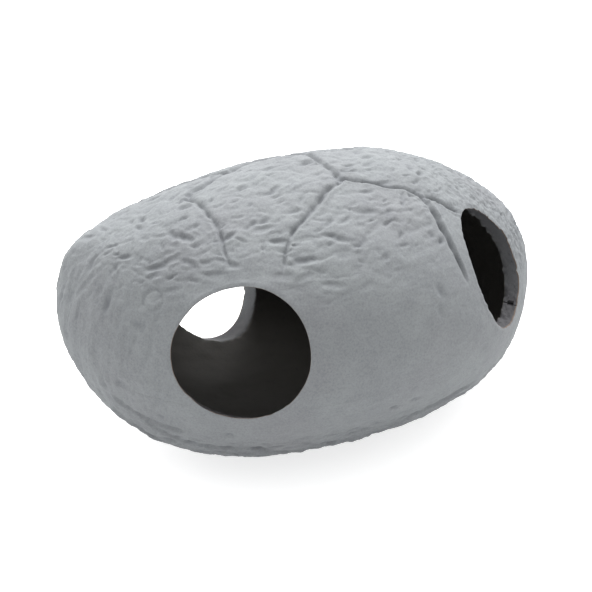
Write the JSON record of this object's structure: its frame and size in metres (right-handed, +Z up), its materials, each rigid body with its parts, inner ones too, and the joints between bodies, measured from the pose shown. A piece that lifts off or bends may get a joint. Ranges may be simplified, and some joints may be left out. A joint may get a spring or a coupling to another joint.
{
  "type": "rock cave ornament",
  "caption": "Hollow rock-shaped cave for a tank or pond, cast in halves bonded at a level joint, with round entrances through its walls.",
  "frame": {"origin": "centre of the rock's outline, on the surface that it stands on", "axes": "+Z up; +X along the rock's length, towards the end with the side entrance; +Y towards the rear entrance"},
  "size_m": [0.1837, 0.1289, 0.0985],
  "materials": {
    "rock_resin": "matt grey stone coat outside, near-black bare resin inside",
    "bond_adhesive": "dark cured epoxy, slightly uneven"
  },
  "bodies": {
    "root": {"upper_shell": "rock_resin", "lower_shell": "rock_resin", "bond_bead_left": "bond_adhesive", "bond_bead_front": "bond_adhesive", "bond_bead_back": "bond_adhesive"}
  },
  "joints": []
}
